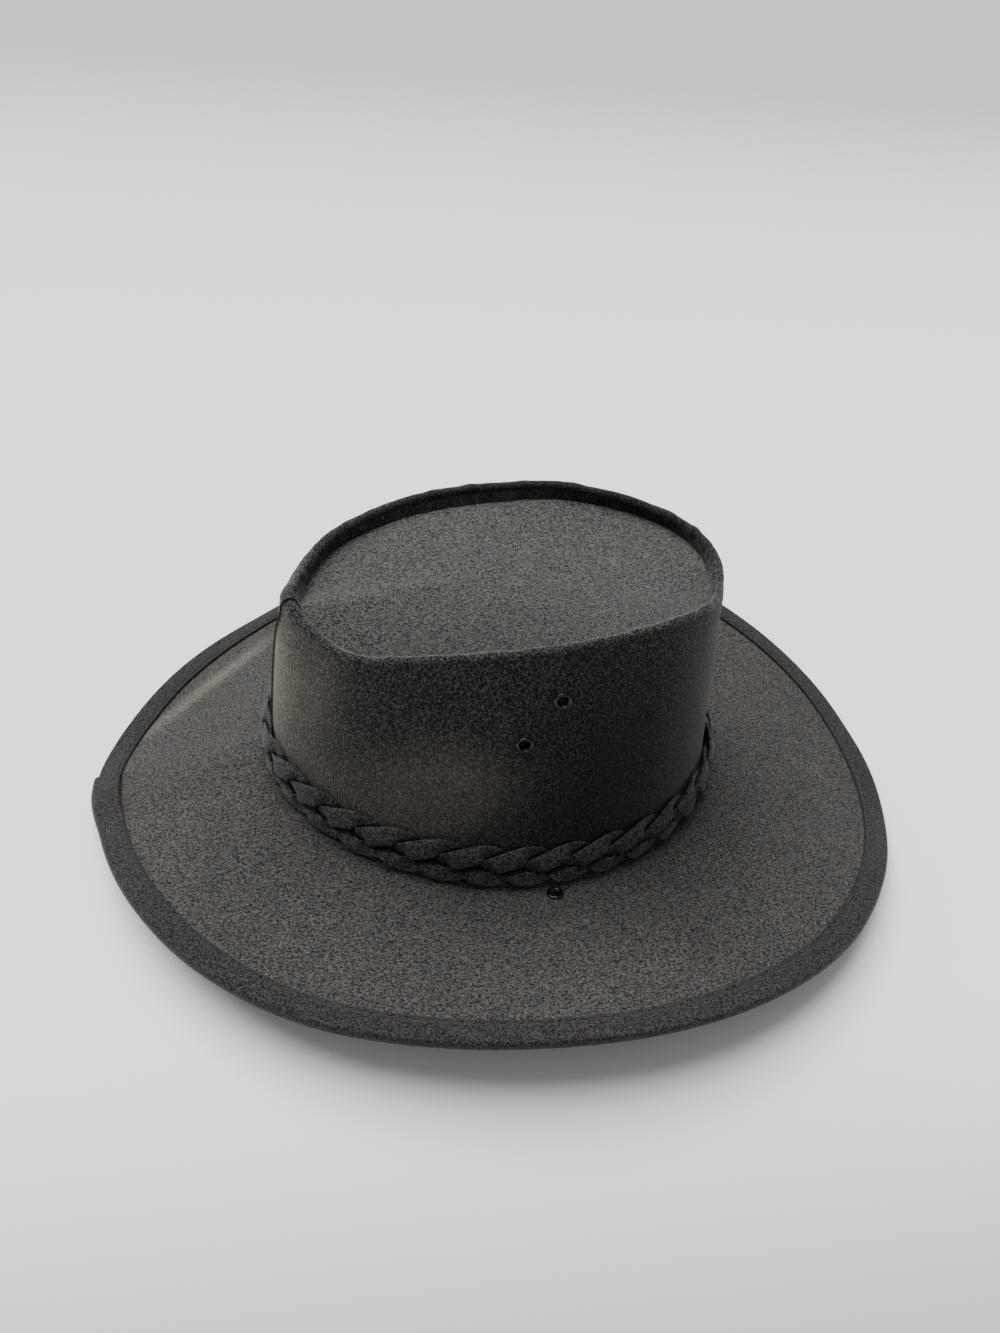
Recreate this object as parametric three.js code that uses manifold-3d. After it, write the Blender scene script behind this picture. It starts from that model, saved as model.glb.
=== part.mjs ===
// A suede leather bush hat, resting on the underside of its brim.
// Millimetres, +Z up, the hat's front towards +X and the wearer's left towards +Y.
// Every angle runs round the hat from the front (0) by the wearer's left (90) to the back (180).
import * as THREE from 'three';
import { mergeVertices } from 'three/addons/utils/BufferGeometryUtils.js';
import Module from 'manifold-3d';

const wasm = await Module();
wasm.setup();

// Crown
const headLength = 206.6; // outside of the crown where it meets the brim, front to back
const headWidth = 168;
const crownHeight = 104; // brim seam to the crest of the rim
const crestLength = 188.5; // the crest of the rim, front to back
const crestWidth = 123.5;
const crestForward = 4.8; // how far the crest sits ahead of the brim seam
const crownLeather = 1.8;
const wallBulge = 1.5; // how far the crown's wall swells out half way up
const rimRoll = 2.7; // half the width of the rolled rim
const rimDrop = 7; // crest down to the end of the turned-in flap
const flapLean = 2.4; // how far the flap leans in on its way down
const tipTuck = 0.8; // how far the tip reaches out past the flap that holds it
const tipDome = 1.5;
const seamDepth = 0.7; // the groove where the crown's two ends are sewn together
const seamWidth = 2.4;
const backSeamAngle = 186;

// Brim and its binding
const brimReach = 86; // crown to the brim's edge
const brimLeather = 2;
const brimLift = 22; // how far the brim's sides curl up from the floor
const seamHeight = 12; // floor to the underside of the brim at the crown
const floorBlend = 1.5; // half the height over which the brim eases down onto the floor
const bindingWidth = 10;
const bindingLeather = 1;
const bindingJoinAngle = 185;
const bindingLap = 12; // how far the binding's end runs over its start
const bindingRamp = 5; // length in which that end climbs over the start
const lapEase = 30; // length over which the brim eases up onto the lap

// Plaited band
const bandWidth = 20;
const strandWidth = 7.1;
const strandLeather = 1.3;
const strandClimb = 1.5; // how far a strand passes above or below the middle of the band
const bandRepeats = 11; // full waves of each strand round the crown
const bandLift = 1.6; // clear height of the band over the brim at the crown

// Eyelets
const eyeletHole = 2.1; // radii
const eyeletBarrel = 2.6;
const eyeletFlange = 3.7;
const eyeletInnerFlange = 3.5;
const eyeletMetal = 0.5;
const eyeletDome = 0.75;
const ventLowHeight = 71; // above the brim seam
const ventHighHeight = 91;
const ventLowAngle = 268;
const ventHighAngle = 275.5;
const cordEyeletAngle = 277;
const cordEyeletOut = 8.5; // from the crown's wall

const gap = 0.3; // between pieces that touch
const roundSteps = 64; // steps round the hat
const eyeletSides = 10;

// The crown's section: reach and height of the crest, swell of the wall and lean of the flap,
// as shares of the crest's half lengths, crownHeight, wallBulge and flapLean.
const crownRows = [
  { at: 0, reach: 0.9, height: 1.01, bulge: 0, lean: -0.2 },
  { at: 30, reach: 1.01, height: 1.03, bulge: 0.5, lean: -0.3 },
  { at: 60, reach: 0.99, height: 1.08, bulge: 1, lean: 0.6 },
  { at: 90, reach: 0.99, height: 1.07, bulge: 1, lean: 1 },
  { at: 120, reach: 0.985, height: 1.03, bulge: 1, lean: 1 },
  { at: 150, reach: 0.93, height: 1.0, bulge: 1, lean: 0.9 },
  { at: 180, reach: 0.995, height: 0.97, bulge: 1, lean: 1.6 },
  { at: 210, reach: 1.085, height: 0.915, bulge: 1, lean: 1.3 },
  { at: 240, reach: 0.975, height: 0.935, bulge: 1, lean: 1 },
  { at: 270, reach: 0.98, height: 1.04, bulge: 1, lean: 1 },
  { at: 300, reach: 1.045, height: 1.125, bulge: 1, lean: 1 },
  { at: 330, reach: 0.96, height: 1.085, bulge: 0.3, lean: 0.6 },
];

// The brim's section: its reach, the height of its edge and the height of its seam,
// as shares of brimReach, brimLift and seamHeight. A height under 0 is pressed flat on the floor.
const brimRows = [
  { at: 0, reach: 1.053, lift: -0.2, seam: 1.2 },
  { at: 30, reach: 1.04, lift: 0.66, seam: 1.08 },
  { at: 60, reach: 0.99, lift: 1.05, seam: 0.85 },
  { at: 90, reach: 0.976, lift: 0.95, seam: 0.83 },
  { at: 120, reach: 0.959, lift: 0.25, seam: 1.17 },
  { at: 150, reach: 0.916, lift: -0.27, seam: 1.62 },
  { at: 180, reach: 0.915, lift: -0.2, seam: 1.83 },
  { at: 210, reach: 0.93, lift: 0.74, seam: 1.62 },
  { at: 240, reach: 0.949, lift: 1.0, seam: 1.16 },
  { at: 270, reach: 0.979, lift: 1.2, seam: 0.83 },
  { at: 300, reach: 1.029, lift: 1.05, seam: 0.85 },
  { at: 330, reach: 1.06, lift: 0.5, seam: 1.08 },
];

// Half a wave of a strand: the levels of its upper and lower edge, from 1 (over) to -1 (under).
const strandRows = [
  { phase: 0, upper: 1, lower: -1 },
  { phase: 0.26, upper: 1.12, lower: 1 },
  { phase: 0.69, upper: 1, lower: 1 },
  { phase: 1.17, upper: 0.8, lower: 1.07 },
  { phase: 1.95, upper: -0.51, lower: -0.84 },
  { phase: 2.39, upper: -1, lower: -1 },
  { phase: 2.9, upper: -1, lower: -1.02 },
];

const material = (name, color, roughness, metalness = 0) =>
  new THREE.MeshStandardMaterial({ name, color, roughness, metalness });
const crownSuede = material('crown suede', 0x3c3a38, 0.95);
const brimSuede = material('brim suede', 0x4d4a48, 0.95);
const bindingSuede = material('binding suede', 0x393736, 0.95);
const bandSuede = material('plaited suede', 0x323234, 0.95);
const blackMetal = material('black metal', 0x131415, 0.45, 0.7);

const radians = THREE.MathUtils.degToRad;
const point = (x, y, z) => new THREE.Vector3(x, y, z);

// A column of a table of evenly spaced rows, as a smooth closed curve of the angle.
function smooth(rows, column, degrees) {
  const count = rows.length;
  const place = (((degrees / 360) * count) % count + count) % count;
  const start = Math.floor(place);
  const share = place - start;
  const row = (offset) => rows[(start + offset + count) % count][column];
  const [before, from, to, after] = [row(-1), row(0), row(1), row(2)];
  return from + 0.5 * share * (to - before
    + share * (2 * before - 5 * from + 4 * to - after
    + share * (3 * (from - to) + after - before)));
}

// Height above the floor of something that the floor stops, eased over floorBlend.
function restOnFloor(height) {
  if (height > floorBlend) return height;
  if (height < -floorBlend) return 0;
  return (height + floorBlend) ** 2 / (4 * floorBlend);
}

// The angle that a length of the brim's edge takes at the back, and that of half the seam's groove.
const along = (length) => THREE.MathUtils.radToDeg(length / (brimReach + headLength / 2));
const grooveHalf = THREE.MathUtils.radToDeg(seamWidth / headLength);
const lapSpread = bindingLeather + 2 * gap;

// The oval of the brim seam, and the level direction that points out from it.
function seamPoint(degrees) {
  const a = radians(degrees);
  return point((headLength / 2) * Math.cos(a), (headWidth / 2) * Math.sin(a), 0);
}

function outwards(degrees) {
  const a = radians(degrees);
  return point(Math.cos(a) / headLength, Math.sin(a) / headWidth, 0).normalize();
}

// How far the binding's lap holds the brim up.
function lapRise(degrees) {
  const away = Math.max(degrees - bindingJoinAngle, bindingJoinAngle - along(bindingLap) - degrees, 0);
  const share = Math.max(0, 1 - away / along(lapEase));
  return lapSpread * share * share * (3 - 2 * share);
}

// The brim's underside, out millimetres from the crown.
function brimUnderside(degrees, out) {
  const reach = brimReach * smooth(brimRows, 'reach', degrees);
  const seam = seamHeight * smooth(brimRows, 'seam', degrees);
  const edge = brimLift * smooth(brimRows, 'lift', degrees);
  const height = restOnFloor(seam + (edge - seam) * Math.max(0, out / reach)) + lapRise(degrees);
  const spot = seamPoint(degrees).addScaledVector(outwards(degrees), out);
  return spot.setZ(gap + bindingLeather + height);
}

const brimTop = (degrees, out) =>
  brimUnderside(degrees, out).add(point(0, 0, brimLeather));

// The two ends of the crown's wall: its foot on the brim and the crest of the rim.
const crownFoot = (degrees) => brimTop(degrees, 0).add(point(0, 0, gap));

function crestPoint(degrees) {
  const a = radians(degrees);
  const reach = smooth(crownRows, 'reach', degrees);
  const height = crownHeight * smooth(crownRows, 'height', degrees);
  return point(
    crestForward + (crestLength / 2) * reach * Math.cos(a),
    (crestWidth / 2) * reach * Math.sin(a),
    seamHeight + gap + bindingLeather + brimLeather + height,
  );
}

function crestOutwards(degrees) {
  const a = radians(degrees);
  return point(Math.cos(a) / crestLength, Math.sin(a) / crestWidth, 0).normalize();
}

// The crown's wall, from its foot (share 0) to the shoulder of the rim (share 1), depth inside it.
function wallPoint(degrees, share, depth = 0) {
  const out = crestOutwards(degrees);
  const shoulder = crestPoint(degrees).addScaledVector(out, rimRoll).add(point(0, 0, -rimRoll));
  const direction = outwards(degrees).lerp(out, share).normalize();
  const swell = wallBulge * smooth(crownRows, 'bulge', degrees) * Math.sin(Math.PI * share) - depth;
  return crownFoot(degrees).lerp(shoulder, share).addScaledVector(direction, swell);
}

// The wall's height share at a height above the brim seam.
const wallShare = (degrees, height) =>
  height / (crestPoint(degrees).z - crownFoot(degrees).z);

// How deep the back seam's groove is at an angle.
function seamGroove(degrees) {
  return seamDepth * Math.max(0, 1 - Math.abs(degrees - backSeamAngle) / grooveHalf);
}

// Angles round the hat: even steps, and closer ones where a seam or a joint needs them.
function anglesWith(...extra) {
  const even = Array.from({ length: roundSteps }, (_, i) => (360 * i) / roundSteps);
  const clear = even.filter((a) => extra.every((b) => Math.abs(a - b) > 1));
  return [...clear, ...extra].sort((a, b) => a - b);
}

const crownAngles = anglesWith(backSeamAngle - grooveHalf, backSeamAngle, backSeamAngle + grooveHalf);
const joinAngles = [
  bindingJoinAngle - along(bindingLap),
  bindingJoinAngle,
  bindingJoinAngle + along(bindingRamp),
];
const brimAngles = anglesWith(...joinAngles);

// A mesh's geometry from rings of points, each ring the same section one step further on.
function sweep(rings, closed) {
  const size = rings[0].length;
  const positions = rings.flat().flatMap((p) => [p.x, p.y, p.z]);
  const index = [];
  const steps = closed ? rings.length : rings.length - 1;
  for (let i = 0; i < steps; i += 1) {
    const next = (i + 1) % rings.length;
    for (let j = 0; j < size; j += 1) {
      const k = (j + 1) % size;
      const [a, b, c, d] = [i * size + j, i * size + k, next * size + k, next * size + j];
      index.push(a, d, c, a, c, b);
    }
  }
  if (!closed) {
    const last = (rings.length - 1) * size;
    for (const [p, q, r] of capTriangles(rings[0])) {
      index.push(p, q, r, last + p, last + r, last + q);
    }
  }
  return faceOutwards(positions, index);
}

// Triangles over a section's end, in the section's own order of points.
function capTriangles(ring) {
  const normal = sectionNormal(ring);
  const right = ring[1].clone().sub(ring[0]).normalize();
  const up = normal.clone().cross(right);
  const flat = ring.map((p) => new THREE.Vector2(p.dot(right), p.dot(up)));
  return THREE.ShapeUtils.triangulateShape(flat, []);
}

// Newell's normal of a closed section.
function sectionNormal(ring) {
  const normal = point(0, 0, 0);
  ring.forEach((p, i) => {
    const q = ring[(i + 1) % ring.length];
    normal.add(p.clone().cross(q));
  });
  return normal.normalize();
}

// The geometry with its faces turned out, whichever way its rings ran.
function faceOutwards(positions, index) {
  let volume = 0;
  const corner = (i) => point(...positions.slice(3 * i, 3 * i + 3));
  for (let i = 0; i < index.length; i += 3) {
    volume += corner(index[i]).dot(corner(index[i + 1]).cross(corner(index[i + 2])));
  }
  if (volume < 0) {
    for (let i = 0; i < index.length; i += 3) {
      [index[i + 1], index[i + 2]] = [index[i + 2], index[i + 1]];
    }
  }
  const geometry = new THREE.BufferGeometry();
  geometry.setAttribute('position', new THREE.Float32BufferAttribute(positions, 3));
  geometry.setIndex(index);
  return geometry;
}

function solidOf(geometry) {
  const bare = geometry.clone();
  bare.deleteAttribute('normal');
  bare.deleteAttribute('uv');
  const merged = mergeVertices(bare, 1e-4);
  const vertProperties = new Float32Array(merged.attributes.position.array);
  const triVerts = new Uint32Array(merged.index.array);
  return new wasm.Manifold(new wasm.Mesh({ numProp: 3, vertProperties, triVerts }));
}

function geometryOf(solid) {
  const mesh = solid.getMesh();
  const geometry = new THREE.BufferGeometry();
  geometry.setAttribute('position', new THREE.BufferAttribute(mesh.vertProperties, 3));
  geometry.setIndex(new THREE.BufferAttribute(mesh.triVerts, 1));
  return geometry;
}

const hat = new THREE.Group();

function addPiece(name, geometry, finish, parent = hat) {
  geometry.computeVertexNormals();
  const mesh = new THREE.Mesh(geometry, finish);
  mesh.name = name;
  parent.add(mesh);
  return mesh;
}

// An eyelet's place: a point on the leather's face, and the way out of it.
function eyeletFrame(at, along1, along2, outside) {
  const axis = along1.sub(at).cross(along2.sub(at)).normalize();
  if (axis.dot(outside) < 0) axis.negate();
  return { at, axis };
}

function ventFrame(degrees, height) {
  const share = wallShare(degrees, height);
  const at = wallPoint(degrees, share);
  return eyeletFrame(at, wallPoint(degrees + 2, share), wallPoint(degrees, share + 0.04), outwards(degrees));
}

function cordEyeletFrame(degrees) {
  const at = brimTop(degrees, cordEyeletOut);
  return eyeletFrame(at, brimTop(degrees + 2, cordEyeletOut), brimTop(degrees, cordEyeletOut + 4), point(0, 0, 1));
}

const ventFrames = [
  ['right_vent_low', ventFrame(ventLowAngle, ventLowHeight)],
  ['right_vent_high', ventFrame(ventHighAngle, ventHighHeight)],
  ['left_vent_low', ventFrame(360 - ventLowAngle, ventLowHeight)],
  ['left_vent_high', ventFrame(360 - ventHighAngle, ventHighHeight)],
];
const cordFrames = [
  ['right_cord_eyelet', cordEyeletFrame(cordEyeletAngle)],
  ['left_cord_eyelet', cordEyeletFrame(360 - cordEyeletAngle)],
];

// Turns a shape made along +Y so that it runs along an eyelet's axis.
function placeAt({ at, axis }, geometry) {
  const turn = new THREE.Quaternion().setFromUnitVectors(point(0, 1, 0), axis);
  return geometry.applyQuaternion(turn).translate(at.x, at.y, at.z);
}

// Leather with a round hole where each eyelet goes.
function punch(geometry, frames) {
  const punchLength = 12;
  return geometryOf(frames.reduce((solid, [, frame]) => {
    const punchShape = new THREE.CylinderGeometry(
      eyeletBarrel + gap, eyeletBarrel + gap, punchLength, eyeletSides,
    );
    return solid.subtract(solidOf(placeAt(frame, punchShape)));
  }, solidOf(geometry)));
}

// The end of the flap that the rim turns down inside.
function flapPoint(degrees) {
  const lean = flapLean * smooth(crownRows, 'lean', degrees);
  const end = crestPoint(degrees).addScaledVector(crestOutwards(degrees), -rimRoll - lean);
  return end.add(point(0, 0, -rimDrop));
}

// Crown side: one strip of leather, sewn at the back, that rolls over the rim and turns down inside.
function crownSection(degrees) {
  const crest = crestPoint(degrees);
  const out = crestOutwards(degrees);
  const groove = seamGroove(degrees);
  const rim = (radius, turn) => crest.clone()
    .addScaledVector(out, radius * Math.cos(turn))
    .add(point(0, 0, radius * Math.sin(turn) - rimRoll));
  const inner = rimRoll - crownLeather;
  const flapEnd = flapPoint(degrees);
  const flapBack = flapEnd.clone().addScaledVector(out, crownLeather);
  const shares = [0, 0.25, 0.5, 0.75, 0.97];
  const turns = [0.2, 0.4, 0.6, 0.8, 1].map((share) => Math.PI * share);
  return [
    ...shares.map((share) => wallPoint(degrees, share, groove)),
    ...turns.map((turn) => rim(rimRoll - groove, turn)),
    flapEnd,
    flapBack,
    ...[1, 0.5].map((share) => rim(inner, Math.PI * share)),
    ...shares.reverse().map((share) => wallPoint(degrees, share, crownLeather)),
  ];
}

const crownSide = sweep(crownAngles.map(crownSection), true);
addPiece('crown_side', punch(crownSide, ventFrames), crownSuede);

// Crown tip: the sunken top, held under the end of the rim's flap.
function tipRings() {
  const edge = (inset) => crownAngles.map((degrees) => flapPoint(degrees)
    .addScaledVector(crestOutwards(degrees), crownLeather + tipTuck - inset)
    .add(point(0, 0, -gap)));
  const margin = edge(crownLeather + 2 * tipTuck);
  const tipMiddle = margin.reduce((sum, p) => sum.add(p), point(0, 0, 0)).divideScalar(margin.length);
  const ring = (share) => margin.map((p) => {
    const spot = tipMiddle.clone().lerp(p, share);
    spot.z = THREE.MathUtils.lerp(tipMiddle.z, p.z, share ** 2) + tipDome * (1 - share ** 2);
    return spot;
  });
  const upper = [edge(0), margin, ring(0.8), ring(0.45)];
  const lower = upper.map((points) => points.map((p) => p.clone().add(point(0, 0, -crownLeather))));
  return { rings: [...upper, ...lower.reverse()], middle: tipMiddle };
}

function tipGeometry() {
  const { rings, middle } = tipRings();
  const size = rings[0].length;
  const positions = rings.flat().flatMap((p) => [p.x, p.y, p.z]);
  const top = positions.length / 3;
  positions.push(middle.x, middle.y, middle.z + tipDome);
  positions.push(middle.x, middle.y, middle.z + tipDome - crownLeather);
  const index = [];
  const quad = (lower, upper, j) => {
    const k = (j + 1) % size;
    const [a, b, c, d] = [lower * size + j, lower * size + k, upper * size + k, upper * size + j];
    index.push(a, b, c, a, c, d);
  };
  const half = rings.length / 2;
  for (let j = 0; j < size; j += 1) {
    const k = (j + 1) % size;
    for (let i = 0; i + 1 < half; i += 1) quad(i, i + 1, j);
    for (let i = half; i + 1 < rings.length; i += 1) quad(i, i + 1, j);
    quad(rings.length - 1, 0, j);
    index.push((half - 1) * size + j, (half - 1) * size + k, top);
    index.push(half * size + k, half * size + j, top + 1);
  }
  return faceOutwards(positions, index);
}

addPiece('crown_tip', tipGeometry(), crownSuede);

// Brim: a ring of leather that starts under the crown's wall.
function brimSection(degrees) {
  const reach = brimReach * smooth(brimRows, 'reach', degrees);
  const inner = reach - bindingWidth;
  const outs = [-crownLeather, 0, 0.35 * inner, 0.7 * inner, inner, reach];
  return [
    ...outs.map((out) => brimTop(degrees, out)),
    ...outs.reverse().map((out) => brimUnderside(degrees, out)),
  ];
}

const brimSheet = sweep(brimAngles.map(brimSection), true);
addPiece('brim', punch(brimSheet, cordFrames), brimSuede);

// Binding: a strip folded over the brim's edge, whose end laps over its start at the back.
function bindingSection(degrees, spread) {
  const reach = brimReach * smooth(brimRows, 'reach', degrees);
  const inner = reach - bindingWidth;
  const clear = gap + spread;
  const skin = clear + bindingLeather;
  const above = (out, rise) => brimTop(degrees, out).add(point(0, 0, rise));
  const below = (out, fall) => brimUnderside(degrees, out).add(point(0, 0, -fall));
  const past = (spot, distance) => spot.addScaledVector(outwards(degrees), distance);
  return [
    above(inner, skin),
    above(reach, skin),
    past(above(reach, 0), skin),
    past(below(reach, 0), skin),
    below(reach, skin),
    below(inner, skin),
    below(inner, clear),
    past(below(reach, clear), clear),
    past(above(reach, clear), clear),
    above(inner, clear),
  ];
}

// It runs round against the angles, from its start at the join.
function bindingStrip() {
  const [lapEnd, join] = joinAngles;
  const angles = [...brimAngles].reverse();
  const first = angles.indexOf(join);
  const round = [...angles.slice(first), ...angles.slice(0, first)];
  const lap = angles.filter((a) => a <= join && a >= lapEnd);
  return sweep([
    ...round.map((a) => bindingSection(a, 0)),
    ...lap.map((a) => bindingSection(a, lapSpread)),
  ], false);
}

addPiece('brim_binding', bindingStrip(), bindingSuede);

// Plaited band: three flat strands, each a closed wave round the foot of the crown.
const ovalSteps = 720;
const ovalLengths = [0];
for (let i = 1; i <= ovalSteps; i += 1) {
  const step = seamPoint((360 * i) / ovalSteps).distanceTo(seamPoint((360 * (i - 1)) / ovalSteps));
  ovalLengths.push(ovalLengths[i - 1] + step);
}

// The angle at a share of the way round the crown's foot.
function angleAtShare(share) {
  const wanted = share * ovalLengths[ovalSteps];
  const next = Math.max(1, ovalLengths.findIndex((length) => length >= wanted));
  const before = ovalLengths[next - 1];
  return (360 / ovalSteps) * (next - 1 + (wanted - before) / (ovalLengths[next] - before));
}

// A point of the band: rise across it from its middle, level out from its middle layer.
function bandPoint(share, rise, level) {
  const degrees = angleAtShare(((share % 1) + 1) % 1);
  const foot = wallPoint(degrees, 0);
  const up = wallPoint(degrees, wallShare(degrees, bandWidth)).sub(foot).normalize();
  const way = outwards(degrees);
  const out = way.addScaledVector(up, -way.dot(up)).normalize();
  const clear = gap + strandLeather / 2 + strandClimb;
  return foot.addScaledVector(up, bandLift + bandWidth / 2 + rise).addScaledVector(out, clear + level);
}

function strandStations() {
  const half = [...strandRows, ...strandRows.map(({ phase, upper, lower }) => (
    { phase: phase + Math.PI, upper: lower, lower: upper }))];
  return Array.from({ length: bandRepeats }, (_, i) => half.map((row) => (
    { ...row, phase: row.phase + 2 * Math.PI * i }))).flat();
}

function strand(number) {
  const swing = (bandWidth - strandWidth) / 2;
  const waveLength = ovalLengths[ovalSteps] / bandRepeats;
  const shift = number / 3;
  return sweep(strandStations().map(({ phase, upper, lower }) => {
    const share = (phase / (2 * Math.PI) + shift) / bandRepeats;
    const slope = (swing * Math.cos(phase) * 2 * Math.PI) / waveLength;
    const length = Math.hypot(1, slope);
    const side = strandWidth / 2 / length;
    const back = (side * slope) / (waveLength * bandRepeats);
    const middle = swing * Math.sin(phase);
    const corner = (edge, level, face) => bandPoint(
      share - edge * back,
      middle + edge * side,
      level * strandClimb + (face * strandLeather) / 2,
    );
    return [corner(1, upper, 1), corner(-1, lower, 1), corner(-1, lower, -1), corner(1, upper, -1)];
  }), true);
}

['a', 'b', 'c'].forEach((letter, i) => addPiece(`band_strand_${letter}`, strand(i), bandSuede));

// Eyelets: a barrel through the leather, rolled over outside and spread flat inside.
function eyelet(leather) {
  const face = gap + 0.05;
  const back = -leather - face - 0.1;
  const profile = [
    [eyeletHole, face + 0.6 * eyeletDome],
    [eyeletBarrel + 0.4, face + eyeletDome],
    [eyeletFlange, face + 0.2 * eyeletDome],
    [eyeletFlange, face],
    [eyeletBarrel, face],
    [eyeletBarrel, back],
    [eyeletInnerFlange, back],
    [eyeletInnerFlange, back - eyeletMetal],
    [eyeletHole, back - eyeletMetal],
    [eyeletHole, face + 0.6 * eyeletDome],
  ];
  return new THREE.LatheGeometry(profile.map(([r, y]) => new THREE.Vector2(r, y)), eyeletSides);
}

function addEyelet([name, frame], leather) {
  const solid = mergeVertices(bareLathe(placeAt(frame, eyelet(leather))), 1e-4);
  addPiece(name, faceOutwards([...solid.attributes.position.array], [...solid.index.array]), blackMetal);
}

function bareLathe(geometry) {
  geometry.deleteAttribute('normal');
  geometry.deleteAttribute('uv');
  return geometry;
}

ventFrames.forEach((frame) => addEyelet(frame, crownLeather));
cordFrames.forEach((frame) => addEyelet(frame, brimLeather));

// The origin is on the floor, under the middle of the hat's outline.
const box = new THREE.Box3().setFromObject(hat);
const centre = box.getCenter(point(0, 0, 0));
hat.position.set(-centre.x, -centre.y, -box.min.z);

export default hat;
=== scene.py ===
# A suede bush hat for a studio picture: nap, rolled rim, seams, plaited band, bound brim and eyelets.
import math

import bpy
import numpy as np
from mathutils import Matrix, Vector


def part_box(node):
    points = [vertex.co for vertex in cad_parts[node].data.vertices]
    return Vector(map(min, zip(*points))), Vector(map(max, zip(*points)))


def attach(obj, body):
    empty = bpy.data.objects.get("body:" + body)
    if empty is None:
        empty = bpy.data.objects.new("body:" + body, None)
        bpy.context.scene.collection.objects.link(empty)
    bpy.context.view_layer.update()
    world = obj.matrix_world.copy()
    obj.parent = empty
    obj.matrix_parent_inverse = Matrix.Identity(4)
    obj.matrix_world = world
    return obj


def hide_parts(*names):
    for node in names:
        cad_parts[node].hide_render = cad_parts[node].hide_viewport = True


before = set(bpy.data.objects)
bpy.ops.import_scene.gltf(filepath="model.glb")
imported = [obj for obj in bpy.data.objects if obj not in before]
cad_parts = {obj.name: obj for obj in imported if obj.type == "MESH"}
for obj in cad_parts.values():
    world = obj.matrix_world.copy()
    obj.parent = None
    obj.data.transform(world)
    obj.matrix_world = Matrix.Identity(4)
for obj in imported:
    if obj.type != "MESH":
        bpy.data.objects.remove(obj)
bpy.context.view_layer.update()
print("frame loaded:", len(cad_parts), "nodes")

# The hat's own shape is in millimetres, angles in degrees from the front by the wearer's left.
mm = 0.001
crownLow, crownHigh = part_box("crown_side")
hatMiddle = np.array([(crownLow.x + crownHigh.x) / 2, (crownLow.y + crownHigh.y) / 2, 0])
upWay = np.array([0.0, 0.0, 1.0])

crown = {
    "headLength": 206.6, "headWidth": 168.0, "height": 104.0,
    "crestLength": 188.5, "crestWidth": 123.5, "crestForward": 4.8,
    "leather": 1.8, "bulge": 1.5, "rimRoll": 2.7, "rimDrop": 7.0, "flapLean": 2.4,
    "seamAngle": 197.0, "seamSlant": 6.0, "seamBend": 0.25, "seamFall": 3.0, "seamPull": 16,
    "seamRidge": 1.15, "seamSpread": 0.8, "seamShade": 1.7, "seamStep": 0.3, "seamFade": 7.0,
    "seamEdge": 0.5, "seamDense": (2.4, 41),
    "reach": [0.938, 0.967, 0.996, 1.004, 1.0, 0.996, 0.99, 0.987, 0.974, 0.96, 0.96, 0.967,
              1.0, 1.059, 1.058, 1.063, 1.008, 0.984, 0.996, 1.02, 1.03, 1.007, 0.959, 0.926],
    "rise": [1.02, 1.029, 1.042, 1.06, 1.076, 1.086, 1.069, 1.053, 1.036, 1.016, 0.997, 0.97,
             0.953, 0.978, 0.938, 0.908, 0.946, 0.99, 1.031, 1.07, 1.095, 1.082, 1.042, 1.017],
    "swell": [0, 0.5, 1, 1, 1, 1, 1, 1, 1, 1, 1, 0.3],
    "lean": [0, -0.1, -0.38, -0.38, -0.03, 0.6, 1.05, 1.1, 0.83, 0.48, 0.18, -0.16,
             0.75, 1.31, 1.35, 1.19, 1.05, 0.99, 1.01, 1.03, 0.98, 0.8, 0.46, 0.02],
    "corners": [23, 37, 54, 69, 99, 111], "cornerSize": 0.5, "cornerSpread": 2.4,
    "unevenness": [(5, 0.4, 0.22), (9, 2.1, 0.16), (16, 4.0, 0.08)],
    "puckers": [(31, 0.3, 0.16), (43, 1.9, 0.14), (67, 4.4, 0.1)], "flapPucker": 0.9,
    "hemDepth": 0.35, "insideLevel": 2.2,
    "stations": 960, "wallSteps": 34, "rimSteps": 14, "flapSteps": 7, "hemSteps": 5, "insideSteps": 12,
}
brim = {
    "reach": 86.0, "leather": 2.0, "lift": 22.0, "seamHeight": 12.0, "floorBlend": 1.5,
    "reachRow": [1.074, 1.071, 1.049, 1.027, 1.002, 0.985, 0.976, 0.967, 0.951, 0.924, 0.899, 0.893,
                 0.928, 0.905, 0.92, 0.954, 0.976, 0.974, 0.98, 1.004, 1.027, 1.046, 1.045, 1.06],
    "liftRow": [-0.03, 0.257, 0.643, 0.985, 1.069, 1.066, 0.928, 0.625, 0.289, 0.0, -0.13, -0.13,
                0.02, 0.434, 0.754, 0.932, 1.041, 1.172, 1.237, 1.192, 1.014, 0.756, 0.481, 0.06],
    "seamRow": [1.2, 1.08, 0.85, 0.83, 1.17, 1.62, 1.83, 1.62, 1.16, 0.83, 0.85, 1.08],
    "stations": 960, "topSteps": 44, "underSteps": 22, "lapDense": (4.0, 33),
}
binding = {
    "width": 10.0, "leather": 1.0, "gap": 0.3,
    "joinAngle": 185.0, "lap": 12.0, "ramp": 34.0, "ease": 30.0,
    "stitchIn": 2.0, "grooveDepth": 0.4, "grooveSpread": 0.5,
    "dome": 0.25, "edgeDrop": 0.45, "edgeSoft": 0.35, "edgeShade": 0.45,
    "stations": 1100, "lapDense": (5.0, 61), "lapSteps": 16, "foldSteps": 13, "insideSteps": 6,
}


def smooth(row, degrees):  # a closed smooth curve through evenly spaced values
    values = np.asarray(row, float)
    place = (np.asarray(degrees, float) / 360 * len(values)) % len(values)
    start = np.floor(place).astype(int)
    share = place - start
    before, here, after, beyond = (values[(start + k) % len(values)] for k in (-1, 0, 1, 2))
    bend = 2 * before - 5 * here + 4 * after - beyond + share * (3 * (here - after) + beyond - before)
    return here + 0.5 * share * (after - before + share * bend)


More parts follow.
